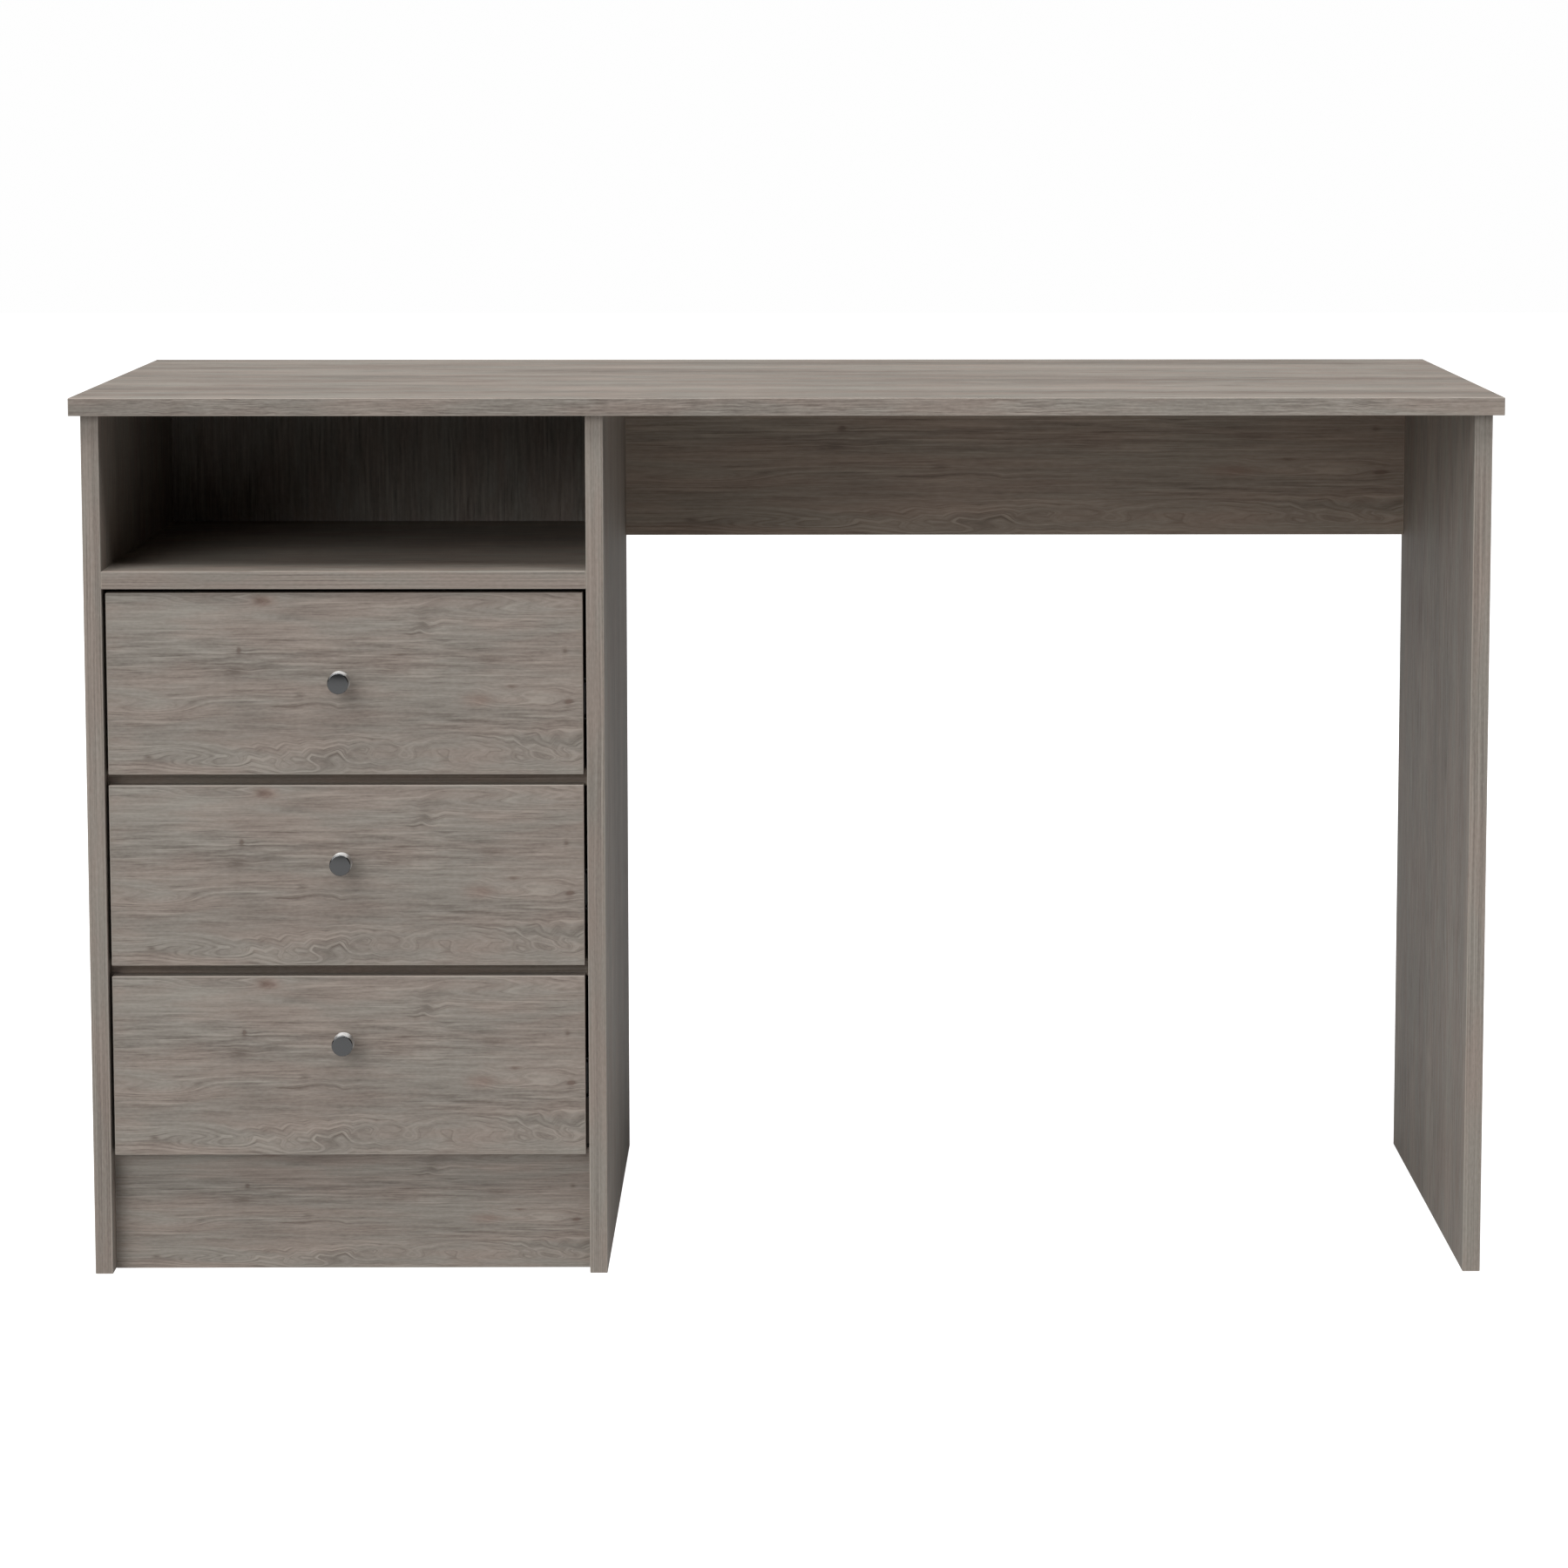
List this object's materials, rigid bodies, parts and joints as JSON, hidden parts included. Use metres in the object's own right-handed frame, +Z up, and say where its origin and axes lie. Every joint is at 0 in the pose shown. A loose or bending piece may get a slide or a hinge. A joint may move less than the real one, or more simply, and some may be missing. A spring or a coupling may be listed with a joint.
{
  "type": "writing desk with drawers",
  "caption": "Straight writing desk in taupe oak laminate with an open bay over drawers in a left pedestal, a modesty board and small round metal knobs.",
  "frame": {"origin": "on the floor, under the centre of the desktop", "axes": "+X to the right along the desk's length, +Y to the back, +Z up; the knobs and drawers face -Y"},
  "size_m": [1.2, 0.512, 0.75],
  "materials": {
    "taupe_oak": "matte wood-grain laminate",
    "drawer_board": "matte plain laminate",
    "hardboard": "smooth lacquered hardboard",
    "beech": "bare turned wood",
    "zinc_steel": "zinc plated",
    "slide_steel": "zinc plated sheet",
    "cam_zinc": "die-cast zinc",
    "knob_chrome": "polished, darkened chrome"
  },
  "bodies": {
    "desk_frame": {"desktop": "taupe_oak", "left_side_panel": "taupe_oak", "middle_side_panel": "taupe_oak", "right_leg_panel": "taupe_oak", "modesty_panel": "taupe_oak", "open_shelf": "taupe_oak", "pedestal_back_panel": "taupe_oak", "upper_drawer_rail": "taupe_oak", "lower_drawer_rail": "taupe_oak", "plinth_board": "taupe_oak", "frame_cam_bolts": "zinc_steel", "frame_cam_locks": "cam_zinc", "frame_dowels": "beech", "corner_brackets": "zinc_steel", "frame_screws": "zinc_steel", "upper_left_cabinet_member": "slide_steel", "upper_right_cabinet_member": "slide_steel", "middle_left_cabinet_member": "slide_steel", "middle_right_cabinet_member": "slide_steel", "lower_left_cabinet_member": "slide_steel", "lower_right_cabinet_member": "slide_steel"},
    "upper_intermediates": {"upper_intermediate_members": "slide_steel"},
    "upper_drawer": {"upper_drawer_front": "taupe_oak", "upper_drawer_left_side": "drawer_board", "upper_drawer_right_side": "drawer_board", "upper_drawer_back": "drawer_board", "upper_drawer_bottom": "hardboard", "upper_drawer_knob": "knob_chrome", "upper_drawer_knob_screw": "zinc_steel", "upper_drawer_cam_bolts": "zinc_steel", "upper_drawer_cam_locks": "cam_zinc", "upper_drawer_slide_screws": "zinc_steel", "upper_left_drawer_member": "slide_steel", "upper_right_drawer_member": "slide_steel"},
    "middle_intermediates": {"middle_intermediate_members": "slide_steel"},
    "middle_drawer": {"middle_drawer_front": "taupe_oak", "middle_drawer_left_side": "drawer_board", "middle_drawer_right_side": "drawer_board", "middle_drawer_back": "drawer_board", "middle_drawer_bottom": "hardboard", "middle_drawer_knob": "knob_chrome", "middle_drawer_knob_screw": "zinc_steel", "middle_drawer_cam_bolts": "zinc_steel", "middle_drawer_cam_locks": "cam_zinc", "middle_drawer_slide_screws": "zinc_steel", "middle_left_drawer_member": "slide_steel", "middle_right_drawer_member": "slide_steel"},
    "lower_intermediates": {"lower_intermediate_members": "slide_steel"},
    "lower_drawer": {"lower_drawer_front": "taupe_oak", "lower_drawer_left_side": "drawer_board", "lower_drawer_right_side": "drawer_board", "lower_drawer_back": "drawer_board", "lower_drawer_bottom": "hardboard", "lower_drawer_knob": "knob_chrome", "lower_drawer_knob_screw": "zinc_steel", "lower_drawer_cam_bolts": "zinc_steel", "lower_drawer_cam_locks": "cam_zinc", "lower_drawer_slide_screws": "zinc_steel", "lower_left_drawer_member": "slide_steel", "lower_right_drawer_member": "slide_steel"}
  },
  "joints": [
    {"name": "upper_drawer_slide", "type": "slide", "parent": "desk_frame", "child": "upper_drawer", "axis": [0, -1, 0], "range_m": [0, 0.35]},
    {"name": "upper_intermediate_slide", "type": "slide", "parent": "desk_frame", "child": "upper_intermediates", "axis": [0, -1, 0], "range_m": [0, 0.175]},
    {"name": "middle_drawer_slide", "type": "slide", "parent": "desk_frame", "child": "middle_drawer", "axis": [0, -1, 0], "range_m": [0, 0.35]},
    {"name": "middle_intermediate_slide", "type": "slide", "parent": "desk_frame", "child": "middle_intermediates", "axis": [0, -1, 0], "range_m": [0, 0.175]},
    {"name": "lower_drawer_slide", "type": "slide", "parent": "desk_frame", "child": "lower_drawer", "axis": [0, -1, 0], "range_m": [0, 0.35]},
    {"name": "lower_intermediate_slide", "type": "slide", "parent": "desk_frame", "child": "lower_intermediates", "axis": [0, -1, 0], "range_m": [0, 0.175]}
  ],
  "couplings": [
    {"joint": "upper_intermediate_slide", "follows": "upper_drawer_slide", "ratio": 0.5},
    {"joint": "middle_intermediate_slide", "follows": "middle_drawer_slide", "ratio": 0.5},
    {"joint": "lower_intermediate_slide", "follows": "lower_drawer_slide", "ratio": 0.5}
  ]
}
